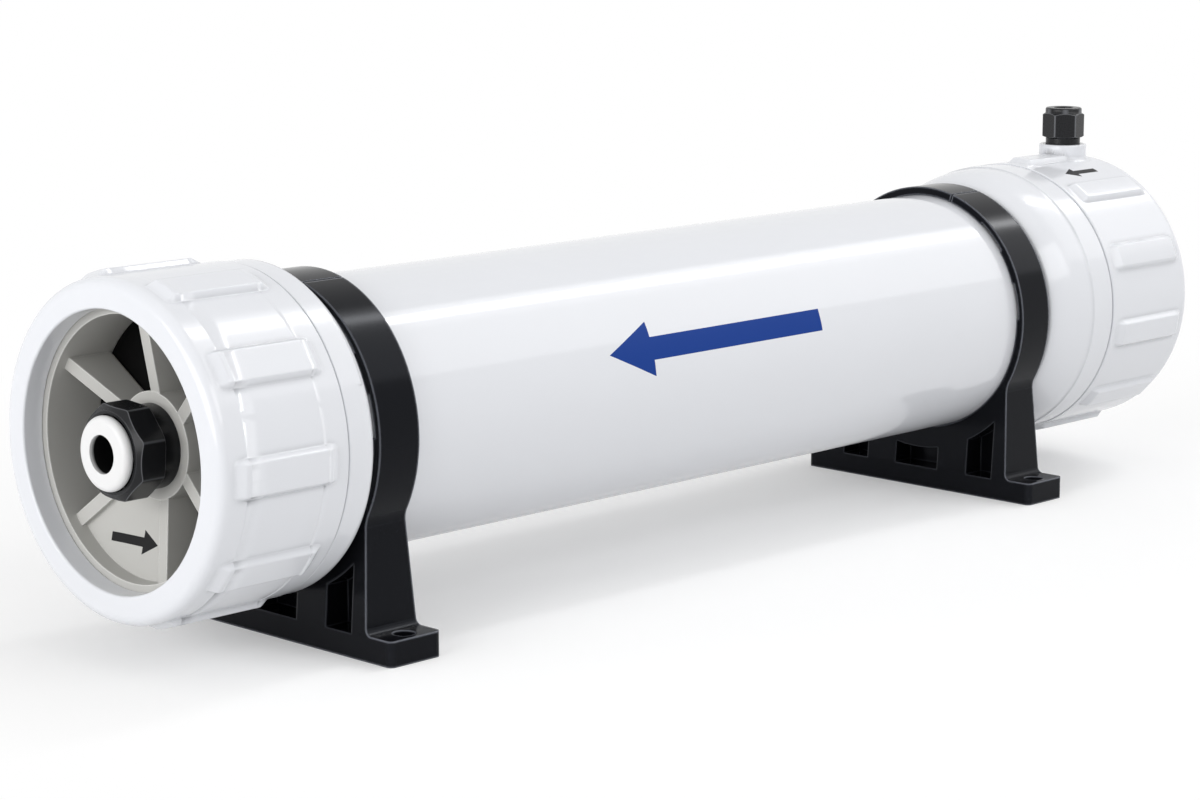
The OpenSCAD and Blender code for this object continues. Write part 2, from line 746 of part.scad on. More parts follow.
// Compression fitting body: shank in the boss, neck, thread and tube bore
port_seal_r = inlet_shank_d / 2 + cement_gap;
port_groove_t = port_seal_d + cement_gap;

module inlet_fitting_body() {
    top_at = inlet_shank_l + inlet_neck_l + inlet_thread_l;
    color(black) on_port(boss_top_z - inlet_shank_l) rotate_extrude() difference() {
        union() {
            ring_section(0, inlet_shank_d / 2, 0, inlet_shank_l + over);
            ring_section(0, inlet_neck_d / 2, inlet_shank_l, inlet_shank_l + inlet_neck_l);
            ring_section(0, inlet_thread_d / 2, inlet_shank_l, top_at);
        }
        ring_section(0, inlet_way_d / 2, -over, top_at + over);
        ring_section(0, inlet_bore_d / 2, top_at - inlet_bore_l, top_at + over);
        ring_section(inlet_shank_d / 2, port_seal_r + port_seal_d + cement_gap,
            inlet_shank_l - over, inlet_shank_l + port_groove_t);
    }
}

module inlet_port_o_ring() {
    color(rubber) on_port(boss_top_z + port_seal_d / 2) o_ring(port_seal_r, port_seal_d);
}

// Ferrule: a coned ring that the nut presses on the tube
ferrule_r = inlet_thread_d / 2 - slide_gap;

module inlet_ferrule() {
    color("white") on_port(inlet_thread_top_z) rotate_extrude()
        polygon([[inlet_bore_d / 2, 0], [ferrule_r, 0], [ferrule_r, ferrule_rim_l],
            [ferrule_r - ferrule_cone_w, ferrule_l], [inlet_bore_d / 2, ferrule_l]]);
}

// Compression nut: chamfered hexagon, thread bore and a seat for the ferrule
module inlet_compression_nut() {
    seat_at = inlet_thread_l + ferrule_l;
    color(black) on_port(inlet_neck_top_z) difference() {
        translate([0, 0, inlet_nut_l]) mirror([0, 0, 1])
            hex_prism(inlet_nut_af, inlet_nut_l - slide_gap);
        rotate_extrude() {
            ring_section(0, inlet_bore_d / 2, -over, inlet_nut_l + over);
            ring_section(0, inlet_thread_d / 2 + slide_gap, -over, seat_at);
        }
    }
}

pressure_tube();
outlet_socket();
inlet_socket();
outlet_bracket();
inlet_bracket();
outlet_ring_nut();
outlet_end_plug();
seal_plate();
plate_front_o_ring();
plate_rear_o_ring();
permeate_adapter();
adapter_front_o_ring();
adapter_rear_o_ring();
outlet_fitting_body();
outlet_tube_o_ring();
outlet_lock_nut();
outlet_collet();
inlet_cap();
inlet_gasket();
inlet_fitting_body();
inlet_port_o_ring();
inlet_ferrule();
inlet_compression_nut();
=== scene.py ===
# %% [markdown]
# # A membrane pressure vessel
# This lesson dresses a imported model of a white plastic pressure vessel. The solids come from the
# frame and are never moved. Most of them only need a good finish, and a few moulded pieces get a
# finer surface with threads, soft pads and rounded edges, worked out with numpy.

# %% Load the frame
import json
import math
from collections import namedtuple

import bmesh
import bpy
import numpy as np
from mathutils import Matrix, Vector


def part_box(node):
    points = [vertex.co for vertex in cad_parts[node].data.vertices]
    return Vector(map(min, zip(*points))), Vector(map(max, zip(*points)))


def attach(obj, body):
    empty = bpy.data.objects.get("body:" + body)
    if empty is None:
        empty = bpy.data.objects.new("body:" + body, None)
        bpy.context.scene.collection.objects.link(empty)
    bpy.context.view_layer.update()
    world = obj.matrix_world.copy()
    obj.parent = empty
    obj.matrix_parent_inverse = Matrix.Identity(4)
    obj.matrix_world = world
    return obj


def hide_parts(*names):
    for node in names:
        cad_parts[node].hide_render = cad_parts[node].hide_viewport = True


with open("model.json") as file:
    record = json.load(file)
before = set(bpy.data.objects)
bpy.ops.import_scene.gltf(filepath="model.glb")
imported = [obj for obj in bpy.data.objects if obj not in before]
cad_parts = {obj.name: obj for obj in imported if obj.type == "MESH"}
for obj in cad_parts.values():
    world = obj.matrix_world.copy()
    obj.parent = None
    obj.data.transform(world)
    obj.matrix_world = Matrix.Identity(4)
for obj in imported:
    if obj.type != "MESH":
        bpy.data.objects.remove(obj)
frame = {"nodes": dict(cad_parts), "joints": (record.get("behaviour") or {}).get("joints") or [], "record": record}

MM = 0.001
nodes = frame["nodes"]
joints = {joint["name"]: joint for joint in frame["joints"]}
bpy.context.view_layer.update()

# %% [markdown]
# ## Sizes that every step shares
# Stations along the vessel are read from the nodes' boxes, and the axis from a joint. Radii are
# repeated from the solids in millimetres, because a box can't give the radius of an inner wall.

# %% Shared sizes
AXIS_Z = joints["ring_nut_turn"]["pos_m"][2]
PORT_X = joints["compression_nut_turn"]["pos_m"][0]
SCREW_PITCH = frame["record"]["behaviour"]["couplings"][0]["ratio"] * 2 * math.pi
NUT_PITCH = frame["record"]["behaviour"]["couplings"][2]["ratio"] * 2 * math.pi
TUBE_R = 57.15 * MM
SOCKET_BORE_R = 57.3 * MM
SPIGOT_R = 60.9 * MM
THREAD_BORE_R = 62.55 * MM
SHELL_R = 67.55 * MM
COLLAR_R = 67.15 * MM
print("axis height", AXIS_Z, "screw pitch in mm", round(SCREW_PITCH / MM, 3))

# %% [markdown]
# ## Camera
# A product photograph is taken with a long lens from a little above. The direction, distance and
# lens below were fitted to the outlines of the ends, the tube and the near feet.

# %% Camera
CAMERA_PLACE = (-1.0053, -0.9468, 0.3227)
CAMERA_AZIMUTH = math.radians(-45.79)
CAMERA_ELEVATION = math.radians(10.43)
camera_data = bpy.data.cameras.new("photo_camera")
camera_data.lens = 93.53
camera_data.sensor_width = 36.0
camera = bpy.data.objects.new("photo_camera", camera_data)
bpy.context.scene.collection.objects.link(camera)
camera.location = CAMERA_PLACE
camera_back = Vector((
    math.sin(CAMERA_AZIMUTH) * math.cos(CAMERA_ELEVATION),
    -math.cos(CAMERA_AZIMUTH) * math.cos(CAMERA_ELEVATION),
    math.sin(CAMERA_ELEVATION)))
camera.rotation_euler = (-camera_back).to_track_quat("-Z", "Y").to_euler()
bpy.context.scene.camera = camera
print("camera looks along", [round(v, 3) for v in -camera_back])

# %% [markdown]
# ## Shader maths
# A finish is easier to read as a formula than as a web of nodes. A Socket stands for one output of
# a node, and arithmetic on it adds Math nodes. Every other node comes from one method of the Tree.

# %% Socket and Tree
class Socket:
    """One output of a shader node, on which Python's operators work."""

    def __init__(self, tree, output):
        self.tree = tree
        self.output = output

    def math(self, operation, *others):
        return self.tree.node("ShaderNodeMath", {"operation": operation}, [self, *others])

    def __add__(self, other):
        return self.math("ADD", other)

    def __sub__(self, other):
        return self.math("SUBTRACT", other)

    def __rsub__(self, other):
        return self.tree.node("ShaderNodeMath", {"operation": "SUBTRACT"}, [other, self])

    def __mul__(self, other):
        return self.math("MULTIPLY", other)

    def __lt__(self, other):
        return self.math("LESS_THAN", other)

    def __gt__(self, other):
        return self.math("GREATER_THAN", other)

    def __or__(self, other):
        return self.math("MAXIMUM", other)

    def __and__(self, other):
        return self.math("MINIMUM", other)

    def __abs__(self):
        return self.math("ABSOLUTE")

    __radd__ = __add__
    __rmul__ = __mul__


class Tree:
    """The emptied node tree of a material or a world."""

    def __init__(self, owner):
        owner.use_nodes = True
        self.nodes = owner.node_tree.nodes
        self.links = owner.node_tree.links
        self.nodes.clear()

    def node(self, kind, settings=None, inputs=(), output=0):
        """Adds a node: first its settings, then a value or a link for each input."""
        made = self.nodes.new(kind)
        for name, value in (settings or {}).items():
            setattr(made, name, value)
        entries = inputs.items() if isinstance(inputs, dict) else enumerate(inputs)
        for key, value in entries:
            if isinstance(value, Socket):
                self.links.new(value.output, made.inputs[key])
            else:
                made.inputs[key].default_value = value
        return Socket(self, made.outputs[output]) if len(made.outputs) else None

    def mix_colour(self, factor, first, second):
        return self.node("ShaderNodeMix", {"data_type": "RGBA"}, {0: factor, 6: first, 7: second}, 2)

    def seen_directly(self):
        """1 for what the camera sees straight, in a mirror or through glass, and 0 for other light."""
        def ray(name):
            return self.node("ShaderNodeLightPath", output=name)
        return ray("Is Camera Ray") | ray("Is Glossy Ray") | ray("Is Transmission Ray")


print("shader maths ready")

# %% [markdown]
# ## Floor and world
# The object stands on a white studio floor. More light would make it white, but would also bleach the
# object. So the floor is white by its colour where the camera looks at it, and it keeps the soft shadow
# near the object.

# %% Floor and world
FLOOR_HALF = 12.0
FLOOR_GREY = (0.80, 0.80, 0.80, 1)
SHADOW_MIDDLE = (0.11, 0, 0)
SHADOW_REACH = (0.30, 0.58)
FLOOR_GLOW = 0.23
AMBIENT = 0.47


def floor_material():
    """Diffuse floor; seen directly it also glows, and far from the object it is plain white."""
    material = bpy.data.materials.new("studio_floor")
    tree = Tree(material)
    place = tree.node("ShaderNodeTexCoord", output="Object")
    distance = tree.node("ShaderNodeVectorMath", {"operation": "DISTANCE"}, [place, SHADOW_MIDDLE], "Value")
    near, far = SHADOW_REACH
    away = tree.node("ShaderNodeMapRange", {"interpolation_type": "SMOOTHSTEP"},
                     {"Value": distance, "From Min": near, "From Max": far})
    diffuse = tree.node("ShaderNodeBsdfDiffuse", inputs={"Color": FLOOR_GREY})
    glow = tree.node("ShaderNodeEmission", inputs={"Strength": FLOOR_GLOW})
    white = tree.node("ShaderNodeEmission", inputs={"Strength": 1.0})
    lit = tree.node("ShaderNodeAddShader", inputs=[diffuse, glow])
    shown = tree.node("ShaderNodeMixShader", inputs=[away, lit, white])
    surface = tree.node("ShaderNodeMixShader", inputs=[tree.seen_directly(), diffuse, shown])
    tree.node("ShaderNodeOutputMaterial", inputs={"Surface": surface})
    return material


floor_mesh = bpy.data.meshes.new("studio_floor")
floor_sides = (-FLOOR_HALF, FLOOR_HALF)
floor_mesh.from_pydata([(x, y, 0) for y in floor_sides for x in floor_sides], [], [(0, 1, 3, 2)])
floor_mesh.materials.append(floor_material())
floor = bpy.data.objects.new("studio_floor", floor_mesh)
bpy.context.scene.collection.objects.link(floor)

world = bpy.data.worlds.new("studio_world")
bpy.context.scene.world = world
world_tree = Tree(world)
sky_strength = AMBIENT + world_tree.seen_directly() * (1 - AMBIENT)
sky = world_tree.node("ShaderNodeBackground", inputs={"Color": (1, 1, 1, 1), "Strength": sky_strength})
world_tree.node("ShaderNodeOutputWorld", inputs={"Surface": sky})
bpy.context.scene.view_settings.view_transform = "Standard"
print("floor and world ready")

# %% [markdown]
# ## Lamps
# A gloss shows what stands round it, so the lamps are screens placed by their reflections. A wide screen
# and a narrow bright one run overhead, parallel to the tube, and draw the bright line on it. A larger and
# weaker one on the near side makes the fainter step below. They are given by the angles that they span
# about the vessel's axis, which is simpler than a place and a size. A soft key above, a fill on the near
# side and a screen before the outlet end light what the long screens leave dark.

# %% Lamps
def screen(name, middle, facing, along, size, radiance):
    """A flat lamp: its middle, the direction it faces, the direction of its long side, its two
    sides and its radiance. A lamp's power is its radiance times pi times its area."""
    lamp = bpy.data.lights.new(name, "AREA")
    lamp.shape = "RECTANGLE"
    lamp.size, lamp.size_y = size
    lamp.energy = radiance * math.pi * size[0] * size[1]
    box = bpy.data.objects.new(name, lamp)
    bpy.context.scene.collection.objects.link(box)
    back = -Vector(facing).normalized()
    side = Vector(along).normalized()
    up = back.cross(side)
    box.matrix_world = Matrix.Translation(middle) @ Matrix((side, up, back)).transposed().to_4x4()
    box.visible_camera = False
    print(name, "power", round(lamp.energy, 1))


def long_screen(name, from_angle, to_angle, distance, from_x, to_x, radiance):
    """A screen parallel to the vessel that spans two height angles about its axis, measured up from
    the near side, so that its edges are where the tube's reflection of it should end."""
    ends = [np.array((-math.cos(a), math.sin(a))) * distance
            for a in (math.radians(from_angle), math.radians(to_angle))]
    y, z = sum(ends) / 2
    size = (to_x - from_x, float(np.linalg.norm(ends[1] - ends[0])))
    screen(name, ((from_x + to_x) / 2, y, AXIS_Z + z), (0, -y, -z), (1, 0, 0), size, radiance)


long_screen("overhead_strip", 74, 94, 4.0, 2.1, 6.2, 1.6)
long_screen("bright_line", 81, 88, 3.9, 2.1, 6.2, 8.6)
long_screen("near_screen", 32, 74, 4.0, 2.1, 6.4, 1.15)
screen("overhead_key", (-0.3, -0.25, 2.4), (0.1, 0.1, -2.3), (1, 0, 0), (2.4, 2.0), 0.3)
screen("near_fill", (0.5, -3.0, 2.0), (-0.5, 3.0, -1.9), (3.0, 0.5, 0), (2.4, 1.6), 2.6)
screen("end_screen", (-2.4, 0.1, 0.6), (2.4, -0.1, -0.5), (0.1, 2.4, 0), (2.2, 1.0), 4.4)

# %% [markdown]
# ## Moulded plastic
# Moulded plastic has softened edges, a faint waviness in its gloss and a fine grain where the mould
# was matt. The Bevel node rounds the normals at the solids' edges, a Bump node adds the texture, and
# two scales of noise vary the roughness, as handling does. The edges of black and grey pieces get a
# painted highlight in a lighter tone, and the inner corners of white ones get painted shade. Both could
# be painted by hand. Here they are worked out from the normals and the free space at a place, so they
# follow the shapes by themselves.

# %% Painted edge highlights and free space
EDGE_GAIN = 9
EDGE_SPACE = 8 * MM
CREASE_SPACE = 3 * MM


def free_space(tree, reach):
    """1 where a place is open, and less where faces of the same piece stand within reach."""
    return tree.node("ShaderNodeAmbientOcclusion", {"samples": 8, "only_local": True},
                     {"Distance": reach}, "AO")


def painted_edge_highlight(tree, rounded):
    """How much painted highlight an edge gets, from 0 to 1. The cosine of the angle between the rounded and the
    plain normal is less than 1 only at an edge, and the squared free space leaves out inner edges, where
    shade falls. A piece can also bring its own mask, the attribute painted_glint."""
    plain = tree.node("ShaderNodeNewGeometry", output="Normal")
    cosine = tree.node("ShaderNodeVectorMath", {"operation": "DOT_PRODUCT"}, [rounded, plain], "Value")
    glint = tree.node("ShaderNodeAttribute", {"attribute_name": "painted_glint"}, output="Fac")
    space = free_space(tree, EDGE_SPACE)
    return (((1 - cosine) * EDGE_GAIN * space * space) | glint) & 1


# painted edge highlight only where this much space round an edge is free
print("edges are polished where", EDGE_SPACE / MM, "mm round them are free")

# %% Plastic
SLOW_CELLS = 14.0
CLOUD_SHARE = 0.03
CLOUD = (0.10, 0.10, 0.11, 1)
# colour of the painted shade in inner corners
CREASE_SHADE = (0.24, 0.25, 0.27, 1)


def plastic(name, colour, roughness, edge, grain, grain_scale, specular=0.5, gloss_tint=(1, 1, 1),
            stretch=(1, 1, 1), highlight_colour=None, highlight_reach=None, crease=None, ink_and_shade=None):
    """A moulded plastic.

    colour       linear red, green, blue
    roughness    lowest and highest roughness, mixed by slow and fine noise
    edge         radius over which edges are rounded
    grain        height of the surface texture
    grain_scale  noise cells of that texture per metre
    gloss_tint   colour of the gloss
    stretch      scale of the texture along each axis
    rubbed       colour of the painted highlight on the edges
    touched      function of the place that gives how much of the edge highlight it gets
    crease       share of the painted shade that darkens the inner corners
    ink          function of the place that gives a mask and its colour, for prints and for the painted shade in the collet's bore
    """
    material = bpy.data.materials.new(name)
    tree = Tree(material)
    place = tree.node("ShaderNodeTexCoord", output="Object")
    drawn = tree.node("ShaderNodeMapping", inputs={"Vector": place, "Scale": stretch})
    slow = tree.node("ShaderNodeTexNoise", inputs={"Vector": place, "Scale": SLOW_CELLS, "Detail": 3.0})
    fine = tree.node("ShaderNodeTexNoise", inputs={"Vector": drawn, "Scale": grain_scale, "Detail": 4.0})
    rounded = tree.node("ShaderNodeBevel", {"samples": 6}, {"Radius": edge})
    shade = tree.mix_colour(slow * CLOUD_SHARE, (*colour, 1), CLOUD)
    # painted shade: inner corners are darkened where little free space is round them
    if crease:
        crease_shade = ((1 - free_space(tree, CREASE_SPACE)) * crease) & 1
        shade = tree.mix_colour(crease_shade, shade, CREASE_SHADE)
    # painted highlight: edges are lightened to the rubbed colour
    if highlight_colour:
        highlight_share = painted_edge_highlight(tree, rounded)
        if highlight_reach:
            highlight_share = highlight_share * highlight_reach(place)
        shade = tree.mix_colour(highlight_share, shade, (*highlight_colour, 1))
    low, high = roughness
    gloss = low + (high - low) * (slow * 0.6 + fine * 0.4)
    normal = tree.node("ShaderNodeBump", inputs={
        "Strength": 1.0, "Distance": grain, "Height": fine, "Normal": rounded})
    surface = tree.node("ShaderNodeBsdfPrincipled", inputs={
        "Base Color": shade, "Roughness": gloss, "Normal": normal, "IOR": 1.5,
        "Specular IOR Level": specular, "Specular Tint": (*gloss_tint, 1)})
    # a print, and on the collet painted shade in its bore
    if ink_and_shade:
        mask, ink_and_shade_colour = ink_and_shade(place)
        ink_and_shade_surface = tree.node("ShaderNodeBsdfPrincipled", inputs={
            "Base Color": (*ink_and_shade_colour, 1), "Roughness": 0.45, "Normal": normal,
            "Specular IOR Level": 0.12})
        surface = tree.node("ShaderNodeMixShader", inputs=[mask, surface, ink_and_shade_surface])
    tree.node("ShaderNodeOutputMaterial", inputs={"Surface": surface})
    return material


print("slow noise: one cell in", round(1000 / SLOW_CELLS), "mm")

# %% [markdown]
# ## Arrows and other marks
# Plain arrows show which way the water flows. They could be cut out as thin extra faces, but those
# flicker where they lie on a surface. Here an arrow is a mask, a formula of the place on the object, and
# ink is a second, duller plastic that shows where the mask is 1. The same kind of formula paints shade
# into the collet's bore, and keeps the painted edge highlight out of the brackets' pockets, where shade falls.

# %% Place on the object
Spot = namedtuple("Spot", "x y z radius angle")


def spot_at(place):
    """Coordinates of a place, its distance from the vessel's axis, and its height angle, which is
    measured up from the near side."""
    x, y, z = (place.tree.node("ShaderNodeSeparateXYZ", inputs=[place], output=k) for k in range(3))
    up = z - AXIS_Z
    return Spot(x, y, z, (y * y + up * up).math("SQRT"), up.math("ARCTAN2", 0 - y))


def highlight_outside_pockets(place):
    """Share of the painted edge highlight on a bracket: full on hoop, legs and feet, and a fifth between them,
    round its pockets, where shade falls.
    """
    spot = spot_at(place)
    above_base = (spot.z > 8.5 * MM) * (spot.z < AXIS_Z)
    between = (abs(spot.y) < 50 * MM) * above_base * (spot.radius > 60 * MM)
    return 1 - between * 0.8


print("a spot holds", Spot._fields)

# %% Arrows
BLUE_INK = (0.007, 0.045, 0.26)
DARK_INK = (0.012, 0.012, 0.013)
DEEP_SHADE = (0.006, 0.006, 0.006)


def arrow(along, across, length, shaft, head):
    """Mask of an arrow from 0 to its length: a bar of a width, and a head of a length and a width."""
    half = abs(across)
    head_l, head_w = head
    neck = length - head_l
    bar = (along > 0) * (along < neck) * (half < shaft / 2)
    point = (along > neck) * (half < (length - along) * (head_w / 2 / head_l))
    return bar | point


def tube_print(place):
    """Blue arrow on the near side of the tube, along the flow from inlet to outlet."""
    spot = spot_at(place)
    across = (spot.angle - math.radians(18)) * TUBE_R
    mask = arrow(54 * MM - spot.x, across, 136 * MM, 10 * MM, (26 * MM, 24 * MM))
    return mask * (spot.radius > TUBE_R - MM), BLUE_INK


def cap_print(place):
    """Dark arrow on the cap beside the port, that points into the vessel."""
    spot = spot_at(place)
    across = (spot.angle - math.radians(69)) * SHELL_R
    mask = arrow(305 * MM - spot.x, across, 26 * MM, 3.6 * MM, (9 * MM, 9 * MM))
    return mask * (spot.radius > SHELL_R - MM), DARK_INK


def plug_print(place):
    """Dark arrow on the plug's closed panel."""
    spot = spot_at(place)
    across = spot.z - (AXIS_Z - 39 * MM)
    return arrow(24 * MM - spot.y, across, 27 * MM, 3.6 * MM, (9 * MM, 9.5 * MM)), DARK_INK


def dark_bore(place):
    """The collet's bore, where little light reaches: darker from 0.8 to 2.2 mm inside its mouth."""
    spot = spot_at(place)
    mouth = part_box("outlet_collet")[0][0]
    deep = place.tree.node("ShaderNodeMapRange", inputs={
        "Value": spot.x, "From Min": mouth + 0.8 * MM, "From Max": mouth + 2.2 * MM})
    return deep * (spot.radius < 7.9 * MM), DEEP_SHADE


print("arrows on tube, cap and plug")

# %% Finishes
WHITE = (0.79, 0.804, 0.84)
white_shell = plastic("white_shell", WHITE, (0.10, 0.18), 0.9 * MM, 0.006 * MM, 420, crease=1.8)
cap_white = plastic("cap_white", WHITE, (0.10, 0.18), 0.9 * MM, 0.006 * MM, 420,
                    crease=1.8, ink_and_shade=cap_print)
tube_white = plastic("tube_white", WHITE, (0.06, 0.12), 0.4 * MM, 0.004 * MM, 500,
                     stretch=(0.02, 1, 1), ink_and_shade=tube_print)
# the rubbed colours below are painted highlights on the edges
plug_grey = plastic("plug_grey", (0.52, 0.515, 0.49), (0.34, 0.46), 0.9 * MM, 0.02 * MM, 900,
                    highlight_colour=(0.82, 0.815, 0.79), ink_and_shade=plug_print)
bracket_black = plastic("bracket_black", (0.0018, 0.002, 0.0032), (0.13, 0.20), 1.4 * MM, 0.003 * MM, 900,
                        specular=0.11, gloss_tint=(0.82, 0.88, 1), highlight_colour=(0.20, 0.21, 0.24),
                        highlight_reach=highlight_outside_pockets)
fitting_black = plastic("fitting_black", (0.009, 0.0095, 0.011), (0.22, 0.32), 0.5 * MM, 0.003 * MM, 1400,
                        specular=0.22, highlight_colour=(0.14, 0.144, 0.155))
# the collet's bore gets painted shade through ink
collet_white = plastic("collet_white", (0.82, 0.82, 0.82), (0.36, 0.48), 0.6 * MM, 0.01 * MM, 1200,
                       ink_and_shade=dark_bore)
seal_rubber = plastic("seal_rubber", (0.0015, 0.0015, 0.0015), (0.6, 0.75), 0.3 * MM, 0.015 * MM, 1600,
                      specular=0.06)
finishes = {"white_shell": white_shell, "plug_grey": plug_grey, "bracket_black": bracket_black,
            "fitting_black": fitting_black, "collet_white": collet_white, "seal_rubber": seal_rubber}
print("finishes:", sorted(finishes))

# %% Give each solid the finish of its slot
slot_of = {part["node"]: part["material_slot"] for part in frame["record"]["subparts"]}
for name, node in nodes.items():
    node.data.materials.clear()
    node.data.materials.append(finishes[slot_of[name]])
nodes["pressure_tube"].data.materials[0] = tube_white
print("dressed", len(nodes), "solids")

# %% [markdown]
# ## Turned surfaces on a grid
# Ring nut, sockets and cap are turned shapes with something more on them: pads outside and a screw
# thread. A modelling tool would spin an outline and add each detail by hand. Here each piece is one
# grid instead. Its rows follow the outline, its columns go round the axis, and the radius also
# depends on the angle, so that pads, thread and rounded edges are one closed surface.

# %% Outlines with rounded corners
def corner_arc(before, corner, after, radius):
    """Points of the arc that rounds one corner of an outline.

    With unit vectors u and v to the neighbours and the angle t between them, the arc's middle lies
    radius / sin(t / 2) from the corner along u + v, and its ends lie radius / tan(t / 2) along u and v.
    The arc is the blend of its two end directions with the weights sin((1 - s) a) and sin(s a)."""
    if radius == 0:
        return np.array([corner], float)
    corner = np.asarray(corner, float)
    u, v = (side / np.linalg.norm(side) for side in (before - corner, after - corner))
    half = math.acos(np.clip(u @ v, -1, 1)) / 2
    middle = corner + (u + v) / np.linalg.norm(u + v) * radius / math.sin(half)
    first, last = (corner + side * radius / math.tan(half) - middle for side in (u, v))
    sweep = math.pi - 2 * half
    s = np.linspace(0, 1, 5 + int(2 * radius))[:, None]
    return middle + (np.sin((1 - s) * sweep) * first + np.sin(s * sweep) * last) / math.sin(sweep)


def outline_rows(corners, fills):
    """Rows along a closed outline. A corner is (station, radius about the axis, rounding), and
    fills[k] holds the stations of more rows between corner k and the next one."""
    places = np.array([corner[:2] for corner in corners], float)
    count = len(corners)
    arcs = [corner_arc(places[k - 1], places[k], places[(k + 1) % count], corners[k][2])
            for k in range(count)]
    rows = []
    for k, arc in enumerate(arcs):
        start, stop = arc[-1], arcs[(k + 1) % count][0]
        share = np.sort((np.asarray(fills.get(k, ())) - start[0]) / (stop[0] - start[0] or 1))
        share = share[(share > 0.001) & (share < 0.999)]
        rows += [arc, start + share[:, None] * (stop - start)]
    return np.vstack(rows)


print("arc of a 4 mm corner:", len(corner_arc(np.array((0, 0)), (10, 0), np.array((10, 10)), 4)), "points")

# %% Grids and pieces
def about_axis(x, radius, angle):
    """Points on the vessel's axis from stations, radii and height angles, all in millimetres. A
    height angle is measured up from the near side."""
    y, z = -radius * np.cos(angle), AXIS_Z / MM + radius * np.sin(angle)
    return np.stack(np.broadcast_arrays(x, y, z), -1) * MM


def about_port(z, radius, angle):
    """Points on the inlet port's upright axis from heights above the vessel's axis."""
    x, y = PORT_X / MM + radius * np.cos(angle), radius * np.sin(angle)
    return np.stack(np.broadcast_arrays(x, y, AXIS_Z / MM + z), -1) * MM


def grid_mesh(name, points, poles=False, glint=None):
    """Mesh of a grid that closes round its columns, and along its rows too unless these end in poles. The
    argument worn holds how much painted highlight each point gets. The faces point outwards where the
    volume, the sum of a . (b x c) / 6 over its triangles, comes out positive."""
    rows, columns = points.shape[:2]
    index = np.arange(rows * columns).reshape(rows, columns)
    below = np.roll(index, -1, 0)
    quads = np.stack([index, np.roll(index, -1, 1), np.roll(below, -1, 1), below], -1)
    quads = quads[:rows - 1 if poles else rows].reshape(-1, 4)
    flat = points.reshape(-1, 3)
    a, b, c, d = (flat[quads[:, k]] for k in range(4))
    volume = ((a * np.cross(b, c)).sum() + (a * np.cross(c, d)).sum()) / 6
    if volume < 0:
        quads = quads[:, ::-1]
    mesh = bpy.data.meshes.new(name)
    mesh.vertices.add(len(flat))
    mesh.vertices.foreach_set("co", flat.ravel())
    mesh.loops.add(quads.size)
    mesh.loops.foreach_set("vertex_index", quads.ravel())
    mesh.polygons.add(len(quads))
    mesh.polygons.foreach_set("loop_start", np.arange(len(quads)) * 4)
    mesh.update(calc_edges=True)
    # painted edge highlight, kept for each point
    if glint is not None:
        mesh.attributes.new("painted_glint", "FLOAT", "POINT").data.foreach_set("value", glint.ravel())
    if poles:
        work = bmesh.new()
        work.from_mesh(mesh)
        bmesh.ops.remove_doubles(work, verts=work.verts, dist=1e-7)
        work.to_mesh(mesh)
        work.free()
    mesh.validate()
    mesh.shade_smooth()
    print(name, len(mesh.polygons), "faces,", round(abs(volume) * 1e6, 2), "ml")
    return mesh


def add_piece(name, mesh, material, body, slot, *replaced):
    """Shows a mesh as a piece that rides on a body and stands for CAD nodes. Large faces rule the
    shading, so that flats stay flat beside small rounded edges."""
    mesh.materials.append(material)
    piece = bpy.data.objects.new(name, mesh)
    bpy.context.scene.collection.objects.link(piece)
    piece.modifiers.new("even_shading", "WEIGHTED_NORMAL")
    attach(piece, body)
    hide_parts(*replaced)
    print(name, "rides on", body, "and stands for", *replaced)


# %% [markdown]
# ## Pads and threads
# The pads on ring nut and cap are what a strap wrench grips. Their sides slope so that they leave the
# mould, and their edges are soft. They could be boxes with bevels that a Boolean joins to the shell. Here
# the height of a pad is a function of how far a place lies inside the pad's outline, so shell and pads are
# one smooth skin. The thread is a wave that climbs one pitch a turn, the same function for the inside and
# the outside, so the two stay in step while the nut turns.

# %% Height of a pad
Pads = namedtuple("Pads", "count first width length middle radius")
PAD_RISE = 2.5
PAD_SLOPE = 1.9
PAD_END_SLOPE = 4.0
PAD_CORNER = 2.2
PAD_LINES = np.array([-0.6, -0.25, -0.1, 0.1, 0.25, 0.6, 1.0, 1.4, 1.65, 1.8, 2.0, 2.15, 3.0])


def soft_ramp(t, bend=0.12):
    """A ramp from 0 at t = 0 to 1 at t = 1 with rounded bends: the mean of the sharp ramp between
    t - bend and t + bend, from its integral."""
    def integral(v):
        return (np.maximum(v, 0) ** 2 - np.maximum(v - 1, 0) ** 2) / 2
    return (integral(t + bend) - integral(t - bend)) / (2 * bend)


def pad_height(x, angle, pads):
    """Height of the pads: the soft ramp of the distance that a place lies inside the nearest pad's
    rectangle with rounded corners. Lengths along the pad count less, so its ends slope more gently."""
    turn = 2 * np.pi / pads.count
    beside = (angle - pads.first + turn / 2) % turn - turn / 2
    a = (np.abs(x - pads.middle) - pads.length / 2) * PAD_SLOPE / PAD_END_SLOPE + PAD_CORNER
    b = np.abs(beside) * pads.radius - (pads.width / 2 - PAD_CORNER)
    inside = PAD_CORNER - np.hypot(np.maximum(a, 0), np.maximum(b, 0)) - np.minimum(np.maximum(a, b), 0)
    return PAD_RISE * soft_ramp(inside / PAD_SLOPE)


def pad_stations(pads):
    """Stations of the grid along a pad, close together over its sloped ends."""
    half = pads.length / 2 - PAD_LINES * PAD_END_SLOPE / PAD_SLOPE
    inner = np.linspace(-half.min(), half.min(), 6)
    return pads.middle + np.concatenate([-half, inner, half])


